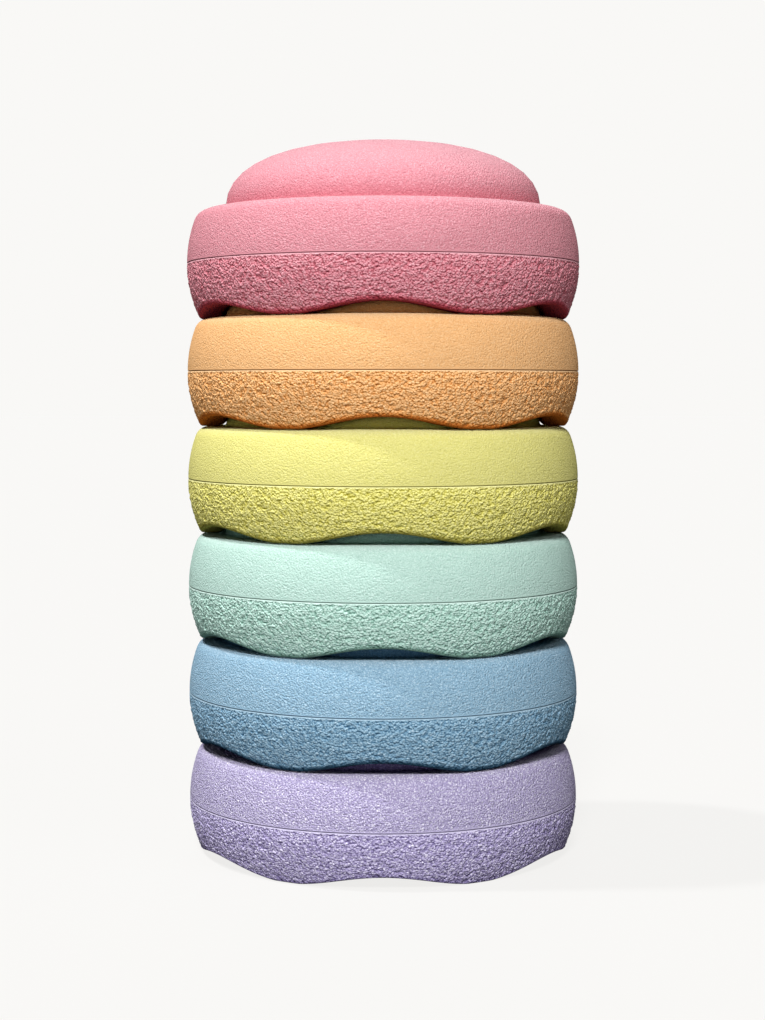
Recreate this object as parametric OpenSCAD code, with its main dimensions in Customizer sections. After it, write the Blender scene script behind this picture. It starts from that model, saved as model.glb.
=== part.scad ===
// Stacking stone set: six hollow foam stones, each one moulding, nested in a tower.
// Z = 0 is the surface that the lowest stone stands on, and the Z axis runs up the tower.

/* [Stone] */
// Largest diameter of a stone, at its parting line
stone_d = 275; // [240:1:320]
// Height from the feet to the shoulder, which is the step from one stone to the next
step_h = 75; // [60:0.1:95]
// Radius of the bulge of the side, seen in section
side_r = 87; // [65:1:160]
// Rounding of the shoulder's outer edge
shoulder_round = 10; // [5:0.5:14]
// Rounding of the feet's outer edge
foot_round = 2.5; // [1.5:0.5:7]

/* [Parting line] */
// Height of the mould's parting line above the feet
seam_z = 38.4; // [28:0.1:48]
// Width of the fine groove along the parting line
seam_w = 0.8; // [0.4:0.1:2]
// Depth of that groove
seam_depth = 0.6; // [0.2:0.1:1.5]

/* [Dome] */
// Width of the ledge between the shoulder's edge and the dome
ledge_w = 18.9; // [15:0.1:26]
// Height of the dome above the shoulder
dome_h = 47.6; // [36:0.1:60]
// Squareness of the dome: 2 is an ellipse, more is fuller at the rim
dome_power = 2.4; // [2:0.1:3]
// Hollow rounding where the dome meets the ledge
dome_fillet = 3; // [1.5:0.5:5]

/* [Hollow] */
// Gap all round between a dome and the mouth of the stone that sits over it
nest_gap = 2; // [1:0.1:4]
// Height of the straight wall inside the mouth
mouth_h = 30; // [22:1:42]
// Thickness of the foam over the crown of the hollow
roof_t = 25; // [15:1:35]
// Spare rounding on the inner edge of the feet, beyond the dome's hollow rounding
seat_room = 1; // [0.5:0.1:3]

/* [Wavy rim] */
// Number of arches, and of feet, round the lower rim
wave_count = 6; // [4:1:9]
// Height of an arch above the feet
wave_h = 8; // [4:0.1:14]
// How far the wave would dip below the feet, which are left flat there
wave_dip = 0.4; // [0.2:0.1:1]

/* [Hidden] */

// Straight pieces in a rounding, in a long curve and in one arch
round_n = 4;
curve_n = 18;
wave_n = 20;
// Facets of a turned shape
turn_n = 144;
// How far a cut runs past the foam that it cuts
cut_over = 5;

// Centre of the side's bulge, and the radii of the side at the feet and at the shoulder
side_c = [stone_d / 2 - side_r, seam_z];
foot_r = side_x(0);
rim_r = side_x(step_h);

// Dome and mouth follow the rim, so each stone fits over the next one
dome_r = rim_r - ledge_w;
mouth_r = dome_r + nest_gap;
mouth_round = dome_fillet + seat_room;
hollow_h = step_h + dome_h - roof_t;

// Radius of the bulged side at height z
function side_x(z) = side_c[0] + sqrt(pow(side_r, 2) - pow(z - side_c[1], 2));

// Points on an arc about centre c, from angle a0 to angle a1
function arc(c, r, a0, a1, n) =
    [for (i = [0 : n]) let (a = a0 + (a1 - a0) * i / n) c + r * [cos(a), sin(a)]];

// Points on a quarter superellipse of radius r and height h, from angle a0 up to its crown
function crown(z, r, h, power, a0) = [
    for (i = [0 : curve_n])
        let (a = a0 + (90 - a0) * i / curve_n)
            [r * pow(cos(a), 2 / power), z + h * pow(sin(a), 2 / power)]
];

// The same points from the crown down
function reversed(list) = [for (i = [len(list) - 1 : -1 : 0]) list[i]];

// Centre of a rounding of radius r that meets the bulged side and lies at height z
function edge_c(r, z) = [side_c[0] + sqrt(pow(side_r - r, 2) - pow(z - side_c[1], 2)), z];

// Angle at which such a rounding meets the bulged side
function edge_a(c) = atan2(c[1] - side_c[1], c[0] - side_c[0]);

// Hollow under the dome: an ellipse over the straight wall of the mouth
function hollow_outline() = reversed(crown(mouth_h, mouth_r, hollow_h - mouth_h, 2, 0));

// Foot, rounded on both edges, with a flat land between
function foot_outline() = let (c = edge_c(foot_round, foot_round)) concat(
    arc([mouth_r + mouth_round, mouth_round], mouth_round, 180, 270, round_n),
    arc(c, foot_round, -90, edge_a(c), round_n)
);

// Bulged side with the groove of the parting line, up to the rounded shoulder
function side_outline() = let (
    groove_a = asin(seam_w / 2 / side_r),
    foot_c = edge_c(foot_round, foot_round),
    shoulder_c = edge_c(shoulder_round, step_h - shoulder_round)
) concat(
    arc(side_c, side_r, edge_a(foot_c), -groove_a, curve_n / 2),
    [[stone_d / 2 - seam_depth, seam_z]],
    arc(side_c, side_r, groove_a, edge_a(shoulder_c), curve_n / 2),
    arc(shoulder_c, shoulder_round, edge_a(shoulder_c), 90, round_n)
);

// Dome with the hollow rounding at its foot
function dome_outline() = let (
    a0 = asin(pow(dome_fillet / dome_h, dome_power / 2)),
    r0 = dome_r * pow(cos(a0), 2 / dome_power)
) concat(
    arc([r0 + dome_fillet, step_h + dome_fillet], dome_fillet, -90, -180, round_n),
    crown(step_h, dome_r, dome_h, dome_power, a0)
);

// Outline of one arch across the rim: a full wave, lowest half way to the next arch
function arch_outline() = let (half = 180 / wave_count) concat(
    [for (i = [0 : wave_n])
        let (a = half * (2 * i / wave_n - 1), rise = (1 + cos(wave_count * a)) / 2)
            [foot_r * sin(a), rise * (wave_h + wave_dip) - wave_dip]],
    [[foot_r * sin(half), -cut_over], [-foot_r * sin(half), -cut_over]]
);

module arch_cut() {
    rotate([90, 0, 0])
        linear_extrude(height = stone_d / 2 + cut_over)
            polygon(arch_outline());
}

// One stone, standing on its feet
module stone() {
    difference() {
        rotate_extrude($fn = turn_n)
            polygon(concat(hollow_outline(), foot_outline(), side_outline(), dome_outline()));
        for (i = [0 : wave_count - 1])
            rotate([0, 0, i * 360 / wave_count])
                arch_cut();
    }
}

// The stone at a given level of the tower, counted from 0 at the bottom
module stone_at(level) {
    translate([0, 0, level * step_h])
        stone();
}

module purple_stone() {
    color([0.73, 0.70, 0.83])
        stone_at(0);
}

module blue_stone() {
    color([0.60, 0.74, 0.83])
        stone_at(1);
}

module mint_stone() {
    color([0.78, 0.91, 0.87])
        stone_at(2);
}

module yellow_stone() {
    color([0.93, 0.91, 0.58])
        stone_at(3);
}

module orange_stone() {
    color([0.96, 0.78, 0.55])
        stone_at(4);
}

module pink_stone() {
    color([0.95, 0.66, 0.71])
        stone_at(5);
}

purple_stone();
blue_stone();
mint_stone();
yellow_stone();
orange_stone();
pink_stone();
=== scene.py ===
import collections
import math

import bmesh
import bpy
from mathutils import Matrix, Vector, noise


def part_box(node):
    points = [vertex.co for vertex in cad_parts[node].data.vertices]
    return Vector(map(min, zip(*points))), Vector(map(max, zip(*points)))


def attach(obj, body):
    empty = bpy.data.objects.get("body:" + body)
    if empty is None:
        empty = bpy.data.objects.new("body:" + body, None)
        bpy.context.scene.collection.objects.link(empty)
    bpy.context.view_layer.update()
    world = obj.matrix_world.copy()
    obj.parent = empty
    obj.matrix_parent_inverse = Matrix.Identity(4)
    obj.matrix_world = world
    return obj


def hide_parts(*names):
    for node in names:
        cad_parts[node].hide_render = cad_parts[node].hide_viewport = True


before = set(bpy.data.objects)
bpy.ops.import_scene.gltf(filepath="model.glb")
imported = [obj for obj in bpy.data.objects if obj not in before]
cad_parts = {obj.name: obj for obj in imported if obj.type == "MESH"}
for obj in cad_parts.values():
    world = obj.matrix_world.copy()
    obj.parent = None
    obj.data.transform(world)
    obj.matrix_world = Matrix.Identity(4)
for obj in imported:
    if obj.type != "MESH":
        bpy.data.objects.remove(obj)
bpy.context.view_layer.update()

# Driving sizes of one stone, in metres
MM = 0.001
SEAM_Z = 38.4 * MM
SIDE_R = 87 * MM
SHOULDER_ROUND = 10 * MM
FOOT_ROUND = 2.5 * MM
LEDGE_W = 18.9 * MM
DOME_POWER = 2.4
DOME_FILLET = 3 * MM
NEST_GAP = 2 * MM
MOUTH_H = 30 * MM
ROOF_T = 25 * MM
HOLLOW_POWER = 2
SEAT_ROOM = 1 * MM
WAVE_COUNT = 6
WAVE_H = 8 * MM
WAVE_DIP = 0.4 * MM

# Groove of the parting line: how far it reaches below and above the line, where its bottom lies, its depth,
# the width of its lips, and the smooth stretch above it
SEAM_LOW = 0.6 * MM
SEAM_HIGH = 0.4 * MM
SEAM_MID = 0.1 * MM
SEAM_DEPTH = 0.7 * MM
SEAM_LIP = 0.2 * MM
SEAM_CALM = 1.2 * MM

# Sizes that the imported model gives
STONES = ["purple", "blue", "mint", "yellow", "orange", "pink"]
low_corner, high_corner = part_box("purple_stone")
STONE_R = (high_corner.x - low_corner.x) / 2
STONE_H = high_corner.z - low_corner.z
STEP_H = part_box("blue_stone")[0].z - low_corner.z

# Sizes that follow from these
SIDE_C = (STONE_R - SIDE_R, SEAM_Z)
DOME_H = STONE_H - STEP_H
HOLLOW_H = STONE_H - ROOF_T

# Mesh: columns round a stone, rows along each stretch of its section, and how near doubles lie
COLUMNS = 1020
ROWS_HOLLOW = 8
ROWS_MOUTH_EDGE = 3
ROWS_FOOT_EDGE = 4
ROWS_LOWER = 46
ROWS_UPPER = 8
ROWS_SHOULDER = 5
ROWS_FILLET = 3
ROWS_DOME = 10
MERGE = 0.01 * MM

# Rows where the foot's outer edge and the groove begin
ROW_FOOT = ROWS_HOLLOW + ROWS_MOUTH_EDGE + 2
ROW_GROOVE = ROW_FOOT + ROWS_FOOT_EDGE + 1 + ROWS_LOWER

# Marks on the mesh that the material reads: height of the relief, the coarse lower side, painted shade at
# the rim and in the hollow, painted shade at the foot of the dome, all above the parting line, the groove,
# and the edge just below the groove, which takes a painted highlight
MARKS = ["relief", "band", "rim_hollow_shade", "dome_foot_shade", "upper", "seam", "lip"]

# Mark of the groove on the rows around it, counted from its lower lip: full at its bottom, where the colour
# takes a painted shade
SEAM_EDGE = 0.5
SEAM_MARKS = {-1: SEAM_EDGE, 0: SEAM_EDGE, 1: 1.0, 2: SEAM_EDGE, 3: SEAM_EDGE}

# Moulded relief of the lower side: its height, the sizes and shares of its forms, how far above the rim it
# starts and the height over which it comes in, and the rows over which it ends below the groove
RELIEF_H = 1.1 * MM
PEBBLE_SIZE = 2.4 * MM
CRUMB_SIZE = 1.2 * MM
CRUMB_SHARE = 0.5
SWELL_SIZE = 3.5 * MM
SWELL_SHARE = 0.4
RELIEF_EDGE = 0.8 * MM
RELIEF_FADE = 1.0 * MM
RELIEF_END_ROWS = 2

# Shared grain of the skin: its pebbles, the crumbs on them, the heights where its creases begin and are
# full (the creases take painted shade), pale speckles, and broad mottling
GRAIN_SIZE = 1.5 * MM
GRAIN_SMOOTH = 0.2
GRAIN_MEAN = 0.25
GRAIN_CRUMB = 1.2 * MM
GRAIN_CRUMB_H = 0.6
CRUMB_DETAIL = 2.0
NOISE_MEAN = 0.5
CREASE_HIGH = -0.07
CREASE_LOW = -0.37
SPECKLE_SIZE = 1.25 * MM
SPECKLE_DETAIL = 1.0
SPECKLE_FROM = 0.45
SPECKLE_TO = 0.75
SPECKLE_MEAN = 0.25
MOTTLES_PER_METRE = 90.0
MOTTLE_DETAIL = 3.0

# Grain in the material: how much finer it is above the parting line and how much of its pebbles shows there,
# its depth below the line in mm, and the relief's height where its creases, which take painted shade, begin
# and are full
GRAIN_FINER = 1.2
GRAIN_PEBBLES = 0.4
GRAIN_LOWER = 0.9
RELIEF_CREASE_FROM = 0.8
RELIEF_CREASE_TO = 0.3

# The colour is a power of the skin's colour: a higher power paints shade, a lower one paints light. Added to
# that power: painted shade in creases, on facets that tip down and on steep walls, painted light on facets
# that tip up, a painted highlight on the edge below the groove, painted light on the whole lower side, and a
# painted sheen on surfaces that face up
CREASE_SHADE_UPPER = 0.12
CREASE_SHADE_LOWER = 0.35
FACET_LIGHT_SHADE_UPPER = 0.1
FACET_LIGHT_SHADE_LOWER = 0.45
FACET_TIP = 0.5
TIPPED_UP_LIGHT = 0.5
STEEP_SHADE = 0.45
STEEP_DOT = 0.7
LIP_HIGHLIGHT = -0.2
LOWER_LIGHT_POWER = -0.04
TOP_SHEEN = -0.24
TOP_FROM = 0.5

# Where painted shade deepens the colour: share of the rim's painted shade inside the hollow, heights above
# the rim between which that painted shade fades, and the height over which the painted shade at the dome's
# foot fades
HOLLOW_SHADE = 0.25
RIM_SHADE_LOW = 1.0 * MM
RIM_SHADE_HIGH = 3.6 * MM
DOME_FOOT_SHADE_H = 13 * MM

# Lightness: painted light next to the parting line, painted shade on surfaces that face up, the random
# mottling, and painted shade in the groove
SEAM_PAINTED_LIGHT = 1.1
TOP_SHADE = 0.8
MOTTLE_LIFT = 0.05
GROOVE_SHADE = 0.3

# Roughness of the skin, and of its creases
ROUGH_SKIN = 0.5
ROUGH_CREASE = 0.72

# Foam of each stone: sRGB colour, depth of the grain in mm above the parting line, painted light on the
# lower side, paleness of the speckles, painted shade added to the power at the rim, painted shade in the
# lightness of the rim, and painted shade added to the power at the foot of the dome
Foam = collections.namedtuple(
    "Foam", "colour upper_depth lower_lift paleness rim_shade rim_dim foot_shade"
)
FOAM = {
    "purple": Foam((0.669, 0.638, 0.759), 1.9, 1.065, 0.9, 0.5, 1.0, 1.5),
    "blue": Foam((0.538, 0.661, 0.742), 1.6, 0.958, 0.45, 0.95, 0.3, 1.2),
    "mint": Foam((0.671, 0.782, 0.743), 0.85, 1.1, 0.3, 0.6, 0.6, 0.9),
    "yellow": Foam((0.804, 0.782, 0.482), 0.75, 1.148, 0.22, 0.4, 0.45, 0.6),
    "orange": Foam((0.860, 0.668, 0.465), 0.85, 1.123, 0.25, 1.2, 0.85, 0.5),
    "pink": Foam((0.797, 0.538, 0.576), 1.0, 1.092, 0.32, 1.2, 1.0, 0.45),
}

# Camera, as far as the outline and the parting lines give it: its place, its tilt down in degrees, its
# lens in mm and how far it sees in metres
CAMERA_AT = (-0.4 * MM, -1403.7 * MM, 327.2 * MM)
CAMERA_TILT = 3.55
CAMERA_LENS = 69.9
CAMERA_REACH = 100.0

# Backdrop: its colour, the floor's size in metres, how much light the floor throws back, how much of its
# colour takes the shadow, and the strength of the world's light
PALE = (0.947, 0.939, 0.922)
FLOOR_SIZE = 40.0
FLOOR_BOUNCE = 0.15
FLOOR_SHADE = 0.07
WORLD_FILL = 0.03

# Lamps: name, azimuth and elevation in degrees, strength, and angle in degrees
LAMPS = [
    ("overhead_left", -87, 66, 2.65, 3),
    ("front", -5, 44, 3.68, 12),
    ("front_low", -10, 5, 0.75, 15),
    ("right_low", 50, 32, 0.38, 30),
    ("back_low", 180, 4, 2.0, 30),
]
FLOOR_LIGHT = WORLD_FILL + sum(
    strength * math.sin(math.radians(elevation)) for _, _, elevation, strength, _ in LAMPS
) / math.pi


def linear(srgb):
    """Linear colour, with alpha, of an sRGB colour."""
    parts = [c / 12.92 if c <= 0.04045 else ((c + 0.055) / 1.055) ** 2.4 for c in srgb]
    return (*parts, 1.0)


def clamp(value):
    """Value kept between 0 and 1."""
    return min(1.0, max(0.0, value))


def side_x(z):
    """Radius of the bulged side at height z."""
    return SIDE_C[0] + math.sqrt(SIDE_R ** 2 - (z - SIDE_C[1]) ** 2)


def arc(centre, radius, start, end, count):
    """Points on an arc from angle start to angle end, in radians."""
    angles = [start + (end - start) * i / count for i in range(count + 1)]
    return [(centre[0] + radius * math.cos(a), centre[1] + radius * math.sin(a)) for a in angles]


def crown(z, radius, height, power, start, count):
    """Points on a quarter superellipse from angle start up to its crown on the axis."""
    points = []
    for i in range(count + 1):
        a = start + (math.pi / 2 - start) * i / count
        along = max(math.cos(a), 0.0) ** (2 / power)
        points.append((radius * along if i < count else 0.0, z + height * math.sin(a) ** (2 / power)))
    return points


def edge_centre(radius, z):
    """Centre of a rounding that meets the bulged side and lies at height z."""
    return (SIDE_C[0] + math.sqrt((SIDE_R - radius) ** 2 - (z - SIDE_C[1]) ** 2), z)


def edge_angle(centre):
    """Angle at which such a rounding meets the bulged side."""
    return math.atan2(centre[1] - SIDE_C[1], centre[0] - SIDE_C[0])


# Dome and mouth follow the shoulder's edge, so each stone fits over the next one
DOME_R = side_x(STEP_H) - LEDGE_W
MOUTH_R = DOME_R + NEST_GAP
MOUTH_ROUND = DOME_FILLET + SEAT_ROOM


def rise(angle):
    """Height of the wavy rim above the feet."""
    wave = (1 + math.cos(WAVE_COUNT * angle)) / 2
    return max(0.0, wave * (WAVE_H + WAVE_DIP) - WAVE_DIP)


def rim_outline(lift):
    """Rounded mouth and foot of a rim that is raised by lift, and the side from there to the groove."""
    mouth_centre = (MOUTH_R + MOUTH_ROUND, MOUTH_ROUND + lift)
    mouth = arc(mouth_centre, MOUTH_ROUND, math.pi, 1.5 * math.pi, ROWS_MOUTH_EDGE)
    foot_centre = edge_centre(FOOT_ROUND, FOOT_ROUND + lift)
    foot_angle = edge_angle(foot_centre)
    foot = arc(foot_centre, FOOT_ROUND, -0.5 * math.pi, foot_angle, ROWS_FOOT_EDGE)
    lower_lip = -(SEAM_LOW + SEAM_LIP) / SIDE_R
    return mouth + foot + arc(SIDE_C, SIDE_R, foot_angle, lower_lip, ROWS_LOWER)[1:]


def groove_outline():
    """Groove of the parting line, from its lower lip to its upper one."""
    low = SEAM_Z - SEAM_LOW
    high = SEAM_Z + SEAM_HIGH
    return [(side_x(low), low), (STONE_R - SEAM_DEPTH, SEAM_Z + SEAM_MID), (side_x(high), high)]


def upper_outline():
    """Side above the groove and the rounded shoulder."""
    upper_lip = (SEAM_HIGH + SEAM_LIP) / SIDE_R
    calm = upper_lip + SEAM_CALM / SIDE_R
    shoulder_centre = edge_centre(SHOULDER_ROUND, STEP_H - SHOULDER_ROUND)
    shoulder_angle = edge_angle(shoulder_centre)
    lip = arc(SIDE_C, SIDE_R, upper_lip, calm, 1)[:-1]
    side = arc(SIDE_C, SIDE_R, calm, shoulder_angle, ROWS_UPPER)
    shoulder = arc(shoulder_centre, SHOULDER_ROUND, shoulder_angle, 0.5 * math.pi, ROWS_SHOULDER)
    return lip + side + shoulder[1:]


def dome_outline():
    """Hollow rounding at the foot of the dome, and the dome up to its top on the axis."""
    start = math.asin((DOME_FILLET / DOME_H) ** (DOME_POWER / 2))
    dome = crown(STEP_H, DOME_R, DOME_H, DOME_POWER, start, ROWS_DOME)
    fillet_centre = (dome[0][0] + DOME_FILLET, STEP_H + DOME_FILLET)
    return arc(fillet_centre, DOME_FILLET, -0.5 * math.pi, -math.pi, ROWS_FILLET)[:-1] + dome


def outline(lift):
    """Section from the crown of the hollow, round the rim, which is raised by lift, to the dome's top."""
    hollow = crown(MOUTH_H, MOUTH_R, HOLLOW_H - MOUTH_H, HOLLOW_POWER, 0.0, ROWS_HOLLOW)[::-1]
    return hollow + rim_outline(lift) + groove_outline() + upper_outline() + dome_outline()


def relief(point):
    """Height of the moulded relief, from 0 in its creases to about 1 on its bumps."""
    pebble = 1.0 - noise.voronoi(point / PEBBLE_SIZE)[0][0] ** 2
    crumb = abs(noise.noise(point / CRUMB_SIZE))
    swell = noise.noise(point / SWELL_SIZE)
    return pebble + CRUMB_SHARE * crumb + SWELL_SHARE * swell


def angle_of(vert):
    """Angle of a vertex round the axis, from 0 at the front."""
    return math.atan2(vert.co.x, -vert.co.y)


def spin_section(bm, row_of):
    """Plain section spun round the axis: the sector of one arch, and then copies of that sector."""
    section = [bm.verts.new((0.0, -r, z)) for r, z in outline(0.0)]
    for row, vert in enumerate(section):
        vert[row_of] = row
    edges = [bm.edges.new(pair) for pair in zip(section, section[1:])]
    arch = 2 * math.pi / WAVE_COUNT
    copies = WAVE_COUNT - 1
    spin = {"cent": (0, 0, 0), "axis": (0, 0, 1)}
    bmesh.ops.spin(bm, geom=section + edges, angle=arch, steps=COLUMNS // WAVE_COUNT, **spin)
    sector = bm.verts[:] + bm.edges[:] + bm.faces[:]
    bmesh.ops.spin(bm, geom=sector, angle=copies * arch, steps=copies, use_duplicate=True, **spin)
    bmesh.ops.remove_doubles(bm, verts=bm.verts[:], dist=MERGE)


def wave_rim(bm, row_of):
    """Every column of the turned stone takes the section whose rim is raised as the wave is there."""
    sections = {}
    for vert in bm.verts:
        angle = angle_of(vert)
        column = round(angle * COLUMNS / (2 * math.pi))
        if column not in sections:
            sections[column] = outline(rise(angle))
        r, z = sections[column][vert[row_of]]
        vert.co = (r * math.sin(angle), -r * math.cos(angle), z)


def mark_and_press(bm, row_of, marks):
    """Marks for the material, and the relief of the lower side, pressed into the plain surface."""
    for vert in bm.verts:
        row = vert[row_of]
        vert[marks["seam"]] = SEAM_MARKS.get(row - ROW_GROOVE, 0.0)
        # The edge just below the groove takes a painted highlight
        vert[marks["lip"]] = float(row in (ROW_GROOVE - 1, ROW_GROOVE))
        # Painted shade inside the hollow and on the rim, fading out up the foot's edge
        if row <= ROWS_HOLLOW:
            vert[marks["rim_hollow_shade"]] = HOLLOW_SHADE
        elif row <= ROW_FOOT:
            vert[marks["rim_hollow_shade"]] = 1.0
        elif row < ROW_GROOVE:
            above_rim = vert.co.z - rise(angle_of(vert))
            height = relief(vert.co)
            fade = clamp((above_rim - RELIEF_EDGE) / RELIEF_FADE)
            end = min(1.0, (ROW_GROOVE - 1 - row) / RELIEF_END_ROWS)
            vert[marks["relief"]] = height
            vert[marks["band"]] = fade
            # Painted shade that fades out above the rim
            vert[marks["rim_hollow_shade"]] = clamp((RIM_SHADE_HIGH - above_rim) / (RIM_SHADE_HIGH - RIM_SHADE_LOW))
            vert.co += vert.normal * (height - 1.0) * RELIEF_H * fade * end
        elif row == ROW_GROOVE:
            vert[marks["band"]] = 1.0
        else:
            vert[marks["upper"]] = 1.0
            # Painted shade at the foot of the dome, fading out up the dome
            if math.hypot(vert.co.x, vert.co.y) < DOME_R + DOME_FILLET:
                vert[marks["dome_foot_shade"]] = max(0.0, 1.0 - (vert.co.z - STEP_H) / DOME_FOOT_SHADE_H)


def stone_shape():
    """One stone on its feet, with its relief and its marks."""
    bm = bmesh.new()
    row_of = bm.verts.layers.int.new("row")
    for name in MARKS:
        bm.verts.layers.float.new(name)
    marks = {name: bm.verts.layers.float[name] for name in MARKS}
    spin_section(bm, row_of)
    wave_rim(bm, row_of)
    bmesh.ops.recalc_face_normals(bm, faces=bm.faces[:])
    bm.normal_update()
    mark_and_press(bm, row_of, marks)
    return bm


def new_group(name, inputs, outputs):
    """Empty shader node group, with its two end nodes."""
    group = bpy.data.node_groups.new(name, "ShaderNodeTree")
    for kind, label in inputs:
        group.interface.new_socket(label, in_out="INPUT", socket_type=kind)
    for kind, label in outputs:
        group.interface.new_socket(label, in_out="OUTPUT", socket_type=kind)
    return group, group.nodes.new("NodeGroupInput"), group.nodes.new("NodeGroupOutput")


def add_math(tree, operation, first, *others):
    """Math nodes that join two or more inputs, each of them a socket or a number; returns the output."""
    result = first
    for other in others:
        node = tree.nodes.new("ShaderNodeMath")
        node.operation = operation
        for socket, value in zip(node.inputs, (result, other)):
            if isinstance(value, (int, float)):
                socket.default_value = value
            else:
                tree.links.new(value, socket)
        result = node.outputs[0]
    return result


def add_range(tree, value, from_min, from_max, to_min=0.0, to_max=1.0):
    """Map Range node with constant ends; returns its output."""
    node = tree.nodes.new("ShaderNodeMapRange")
    node.inputs["From Min"].default_value = from_min
    node.inputs["From Max"].default_value = from_max
    node.inputs["To Min"].default_value = to_min
    node.inputs["To Max"].default_value = to_max
    tree.links.new(value, node.inputs["Value"])
    return node.outputs[0]


def add_fade(tree, mark, start, end):
    """Value that is start where a mark is 0 and end where it is 1."""
    return add_range(tree, mark, 0.0, 1.0, start, end)


def add_mark(tree, name):
    """Value of one of the mesh's marks."""
    node = tree.nodes.new("ShaderNodeAttribute")
    node.attribute_name = name
    return node.outputs["Fac"]


def add_scaled(tree, vector, scale):
    """Vector or colour times a value."""
    node = tree.nodes.new("ShaderNodeVectorMath")
    node.operation = "SCALE"
    tree.links.new(vector, node.inputs[0])
    tree.links.new(scale, node.inputs["Scale"])
    return node.outputs[0]


def up_part(tree, vector):
    """Upward part of a vector, which is its Z."""
    node = tree.nodes.new("ShaderNodeSeparateXYZ")
    tree.links.new(vector, node.inputs[0])
    return node.outputs["Z"]


def add_noise(tree, scale, detail):
    """Noise texture node."""
    node = tree.nodes.new("ShaderNodeTexNoise")
    node.inputs["Scale"].default_value = scale
    node.inputs["Detail"].default_value = detail
    return node


def foam_grain_group():
    """Shared grain of the foam: crumbly pebbles, the creases between them, speckles and mottling."""
    group, start, end = new_group(
        "foam_grain",
        [("NodeSocketVector", "Place"), ("NodeSocketFloat", "Pebbles")],
        [
            ("NodeSocketFloat", "Height"),
            ("NodeSocketFloat", "Crease"),
            ("NodeSocketFloat", "Speckle"),
            ("NodeSocketFloat", "Mottle"),
        ],
    )
    links = group.links
    pebbles = group.nodes.new("ShaderNodeTexVoronoi")
    pebbles.feature = "SMOOTH_F1"
    pebbles.inputs["Scale"].default_value = 1 / GRAIN_SIZE
    pebbles.inputs["Smoothness"].default_value = GRAIN_SMOOTH
    crumbs = add_noise(group, 1 / GRAIN_CRUMB, CRUMB_DETAIL)
    speckles = add_noise(group, 1 / SPECKLE_SIZE, SPECKLE_DETAIL)
    mottle = add_noise(group, MOTTLES_PER_METRE, MOTTLE_DETAIL)
    for texture in (pebbles, crumbs, speckles, mottle):
        links.new(start.outputs["Place"], texture.inputs["Vector"])
    bowl = add_math(group, "POWER", pebbles.outputs["Distance"], 2.0)
    raised = add_math(group, "SUBTRACT", GRAIN_MEAN, bowl)
    crumbled = add_math(group, "SUBTRACT", crumbs.outputs[0], NOISE_MEAN)
    height = add_math(
        group,
        "ADD",
        add_math(group, "MULTIPLY", raised, start.outputs["Pebbles"]),
        add_math(group, "MULTIPLY", crumbled, GRAIN_CRUMB_H),
    )
    links.new(height, end.inputs["Height"])
    links.new(add_range(group, height, CREASE_HIGH, CREASE_LOW), end.inputs["Crease"])
    links.new(add_range(group, speckles.outputs[0], SPECKLE_FROM, SPECKLE_TO), end.inputs["Speckle"])
    links.new(mottle.outputs[0], end.inputs["Mottle"])
    return group


def own_place(tree, level):
    """Place on the stone itself, so that the stones at all levels share one grain."""
    coordinates = tree.nodes.new("ShaderNodeTexCoord")
    node = tree.nodes.new("ShaderNodeVectorMath")
    node.operation = "SUBTRACT"
    node.inputs[1].default_value = (0.0, 0.0, level * STEP_H)
    tree.links.new(coordinates.outputs["Object"], node.inputs[0])
    return node.outputs[0]


def add_grain(tree, place, grain_group):
    """The shared grain, finer and with weaker pebbles above the parting line."""
    upper = add_mark(tree, "upper")
    grain = tree.nodes.new("ShaderNodeGroup")
    grain.node_tree = grain_group
    finer = add_scaled(tree, place, add_fade(tree, upper, 1.0, GRAIN_FINER))
    tree.links.new(finer, grain.inputs["Place"])
    tree.links.new(add_fade(tree, upper, 1.0, GRAIN_PEBBLES), grain.inputs["Pebbles"])
    return grain.outputs


def grain_normal(tree, foam, grain, band, calm):
    """Normal of the grained skin, with the grain left out where calm is 0."""
    depth = add_fade(tree, band, foam.upper_depth, GRAIN_LOWER)
    bump = tree.nodes.new("ShaderNodeBump")
    bump.inputs["Distance"].default_value = MM
    tree.links.new(add_math(tree, "MULTIPLY", grain["Height"], depth, calm), bump.inputs["Height"])
    return bump.outputs[0]


def facet_light_and_shade(tree, surface, normal, band):
    """What the grain's facets add to the colour's power: painted shade where they tip down and on steep
    walls, painted light where they tip up.
    """
    tipped = add_math(tree, "SUBTRACT", up_part(tree, surface), up_part(tree, normal))
    down = add_range(tree, tipped, 0.0, FACET_TIP)
    up = add_range(tree, tipped, -FACET_TIP, 0.0, -TIPPED_UP_LIGHT, 0.0)
    facet_light_share = add_fade(tree, band, FACET_LIGHT_SHADE_UPPER, FACET_LIGHT_SHADE_LOWER)
    along = tree.nodes.new("ShaderNodeVectorMath")
    along.operation = "DOT_PRODUCT"
    tree.links.new(normal, along.inputs[0])
    tree.links.new(surface, along.inputs[1])
    steep = add_range(tree, along.outputs["Value"], 1.0, STEEP_DOT, 0.0, STEEP_SHADE)
    return add_math(
        tree,
        "ADD",
        add_math(tree, "MULTIPLY", add_math(tree, "ADD", down, up), facet_light_share),
        add_math(tree, "MULTIPLY", steep, band),
    )


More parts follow.
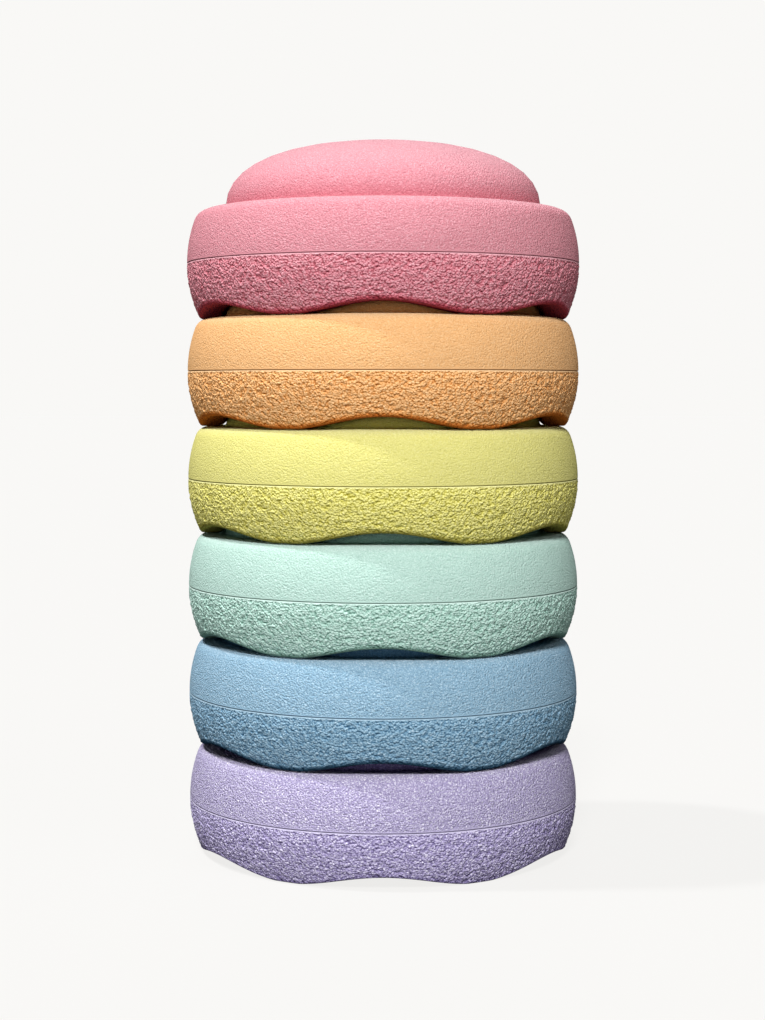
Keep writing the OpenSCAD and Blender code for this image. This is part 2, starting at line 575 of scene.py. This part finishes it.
def crease_shade_and_speckle(tree, foam, grain, band, calm):
    """What the creases of the grain and of the relief add to the colour's power as painted shade, and the
    speckles as random tone.
    """
    relief_crease = add_range(tree, add_mark(tree, "relief"), RELIEF_CREASE_FROM, RELIEF_CREASE_TO)
    crease = add_math(tree, "MAXIMUM", grain["Crease"], add_math(tree, "MULTIPLY", relief_crease, band))
    share = add_fade(tree, band, CREASE_SHADE_UPPER, CREASE_SHADE_LOWER)
    speckle = add_math(tree, "SUBTRACT", SPECKLE_MEAN, grain["Speckle"])
    shaded_and_speckled = add_math(
        tree,
        "ADD",
        add_math(tree, "MULTIPLY", crease, share),
        add_math(tree, "MULTIPLY", speckle, foam.paleness),
    )
    return add_math(tree, "MULTIPLY", shaded_and_speckled, calm)


def painted_lightness(tree, foam, place, upright, band, rim):
    """Lightness of the skin, painted light and shade: lighter on the lower side and next to the parting
    line, darker on top and at the rim.
    """
    near_seam = add_range(tree, up_part(tree, place), SEAM_Z / 2, SEAM_Z)
    near_seam = add_math(tree, "MULTIPLY", near_seam, band)
    return add_math(
        tree,
        "MULTIPLY",
        # painted light on the lower side
        add_fade(tree, band, 1.0, foam.lower_lift),
        # painted light next to the parting line
        add_fade(tree, near_seam, 1.0, SEAM_PAINTED_LIGHT),
        # painted shade on surfaces that face up
        add_range(tree, upright, TOP_FROM, 1.0, 1.0, TOP_SHADE),
        # painted shade at the rim
        add_math(tree, "POWER", foam.rim_dim, rim),
    )


def groove_painted_shade(tree, colour, skin, seam):
    """The skin's colour, going over to a dark painted shade at the bottom of the groove."""
    node = tree.nodes.new("ShaderNodeMix")
    node.data_type = "RGBA"
    # Dark colour of the groove's bottom: painted shade
    node.inputs["B"].default_value = (*[GROOVE_SHADE * c ** 2 for c in skin[:3]], 1.0)
    tree.links.new(colour, node.inputs["A"])
    tree.links.new(add_range(tree, seam, SEAM_EDGE, 1.0), node.inputs["Factor"])
    return node.outputs["Result"]


def foam_material(name, level, grain_group):
    """Moulded bead foam in one colour, for the stone at one level of the tower."""
    foam = FOAM[name]
    skin = linear(foam.colour)
    material = bpy.data.materials.new(name + "_foam")
    material.use_nodes = True
    tree = material.node_tree
    links = tree.links
    shader = tree.nodes["Principled BSDF"]
    band = add_mark(tree, "band")
    seam = add_mark(tree, "seam")
    # Painted shade at the rim and inside the hollow
    rim = add_mark(tree, "rim_hollow_shade")
    place = own_place(tree, level)
    grain = add_grain(tree, place, grain_group)
    calm = add_range(tree, seam, 0.0, SEAM_EDGE, 1.0, 0.0)
    normal = grain_normal(tree, foam, grain, band, calm)
    surface = tree.nodes.new("ShaderNodeNewGeometry").outputs["Normal"]
    upright = up_part(tree, surface)
    # The power paints shade where it rises and light where it falls; only the speckles in it are the foam's
    # own tone
    power = add_math(
        tree,
        "ADD",
        # painted shade at the rim and in the hollow
        add_fade(tree, rim, 1.0, 1.0 + foam.rim_shade),
        # painted shade in creases, and the speckles' random tone
        crease_shade_and_speckle(tree, foam, grain, band, calm),
        # painted shade and painted light on the grain's facets
        facet_light_and_shade(tree, surface, normal, band),
        # painted shade at the dome's foot
        add_fade(tree, add_mark(tree, "dome_foot_shade"), 0.0, foam.foot_shade),
        # painted highlight on the edge below the groove
        add_fade(tree, add_mark(tree, "lip"), 0.0, LIP_HIGHLIGHT),
        # painted light on the lower side
        add_fade(tree, band, 0.0, LOWER_LIGHT_POWER),
        # painted sheen on surfaces that face up
        add_range(tree, upright, TOP_FROM, 1.0, 0.0, TOP_SHEEN),
    )
    speckled_and_painted_colour = tree.nodes.new("ShaderNodeGamma")
    speckled_and_painted_colour.inputs["Color"].default_value = skin
    links.new(power, speckled_and_painted_colour.inputs["Gamma"])
    # Painted light and shade, times the random mottling
    lightness = add_math(
        tree,
        "MULTIPLY",
        painted_lightness(tree, foam, place, upright, band, rim),
        add_fade(tree, grain["Mottle"], 1.0 - MOTTLE_LIFT, 1.0 + MOTTLE_LIFT),
    )
    colour = add_scaled(tree, groove_painted_shade(tree, speckled_and_painted_colour.outputs[0], skin, seam), lightness)
    links.new(colour, shader.inputs["Base Color"])
    links.new(add_fade(tree, grain["Crease"], ROUGH_SKIN, ROUGH_CREASE), shader.inputs["Roughness"])
    links.new(normal, shader.inputs["Normal"])
    shader.inputs["Specular IOR Level"].default_value = 0.0
    return material


def add_stone(name, level, shape, grain_group):
    """The stone at one level of the tower, riding on its own body."""
    mesh = bpy.data.meshes.new(name + "_foam_stone")
    shape.to_mesh(mesh)
    mesh.transform(Matrix.Translation((0, 0, level * STEP_H)))
    mesh.shade_smooth()
    mesh.materials.append(foam_material(name, level, grain_group))
    stone = bpy.data.objects.new(name + "_foam_stone", mesh)
    bpy.context.collection.objects.link(stone)
    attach(stone, name + "_stone")
    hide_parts(name + "_stone")


def seen_directly(tree):
    """Value that is 1 for camera, glossy and transmission rays, and 0 for the rays that light things."""
    path = tree.nodes.new("ShaderNodeLightPath").outputs
    return add_math(
        tree, "MAXIMUM", path["Is Camera Ray"], path["Is Glossy Ray"], path["Is Transmission Ray"]
    )


def floor_material():
    """Pale floor that takes the shadow; seen directly, it is as pale as the world behind it."""
    material = bpy.data.materials.new("pale_floor")
    material.use_nodes = True
    nodes = material.node_tree.nodes
    links = material.node_tree.links
    nodes.clear()
    lit = nodes.new("ShaderNodeBsdfDiffuse")
    lit.inputs["Color"].default_value = (FLOOR_BOUNCE, FLOOR_BOUNCE, FLOOR_BOUNCE, 1.0)
    glow = nodes.new("ShaderNodeEmission")
    glow.inputs["Color"].default_value = (*PALE, 1.0)
    glow.inputs["Strength"].default_value = 1.0 - FLOOR_SHADE * FLOOR_LIGHT
    shade = nodes.new("ShaderNodeBsdfDiffuse")
    shade.inputs["Color"].default_value = (*[FLOOR_SHADE * c for c in PALE], 1.0)
    shown = nodes.new("ShaderNodeAddShader")
    links.new(glow.outputs[0], shown.inputs[0])
    links.new(shade.outputs[0], shown.inputs[1])
    seen = nodes.new("ShaderNodeMixShader")
    links.new(seen_directly(material.node_tree), seen.inputs[0])
    links.new(lit.outputs[0], seen.inputs[1])
    links.new(shown.outputs[0], seen.inputs[2])
    out = nodes.new("ShaderNodeOutputMaterial")
    links.new(seen.outputs[0], out.inputs["Surface"])
    return material


def add_floor():
    """Plain floor at the height of the feet."""
    bm = bmesh.new()
    bmesh.ops.create_grid(bm, x_segments=1, y_segments=1, size=FLOOR_SIZE / 2)
    mesh = bpy.data.meshes.new("floor")
    bm.to_mesh(mesh)
    bm.free()
    mesh.materials.append(floor_material())
    floor = bpy.data.objects.new("floor", mesh)
    bpy.context.collection.objects.link(floor)


def add_world():
    """Pale world behind the floor, with a weak light of its own."""
    world = bpy.data.worlds.new("studio")
    world.use_nodes = True
    bpy.context.scene.world = world
    nodes = world.node_tree.nodes
    links = world.node_tree.links
    fill = nodes["Background"]
    fill.inputs["Color"].default_value = (1.0, 1.0, 1.0, 1.0)
    fill.inputs["Strength"].default_value = WORLD_FILL
    shown = nodes.new("ShaderNodeBackground")
    shown.inputs["Color"].default_value = (*PALE, 1.0)
    seen = nodes.new("ShaderNodeMixShader")
    links.new(seen_directly(world.node_tree), seen.inputs[0])
    links.new(fill.outputs[0], seen.inputs[1])
    links.new(shown.outputs[0], seen.inputs[2])
    links.new(seen.outputs[0], nodes["World Output"].inputs["Surface"])


def add_sun(name, azimuth, elevation, strength, angle):
    """Sun lamp; azimuth 0 shines from the camera's side and 90 from the right."""
    lamp = bpy.data.lights.new(name, "SUN")
    lamp.energy = strength
    lamp.angle = math.radians(angle)
    sun = bpy.data.objects.new(name, lamp)
    turn = math.radians(azimuth)
    climb = math.radians(elevation)
    back = Vector((math.sin(turn) * math.cos(climb), -math.cos(turn) * math.cos(climb), math.sin(climb)))
    sun.rotation_euler = (-back).to_track_quat("-Z", "Y").to_euler()
    bpy.context.collection.objects.link(sun)


def add_camera():
    """Camera at the angle of the photograph."""
    lens = bpy.data.cameras.new("camera")
    lens.lens = CAMERA_LENS
    lens.clip_end = CAMERA_REACH
    camera = bpy.data.objects.new("camera", lens)
    camera.location = CAMERA_AT
    camera.rotation_euler = (math.radians(90 - CAMERA_TILT), 0.0, 0.0)
    bpy.context.collection.objects.link(camera)
    bpy.context.scene.camera = camera


stone_mesh = stone_shape()
foam_grain = foam_grain_group()
for stone_level, stone_name in enumerate(STONES):
    add_stone(stone_name, stone_level, stone_mesh, foam_grain)
stone_mesh.free()

bpy.context.scene.view_settings.view_transform = "Standard"
add_floor()
add_world()
for sun_lamp in LAMPS:
    add_sun(*sun_lamp)
add_camera()
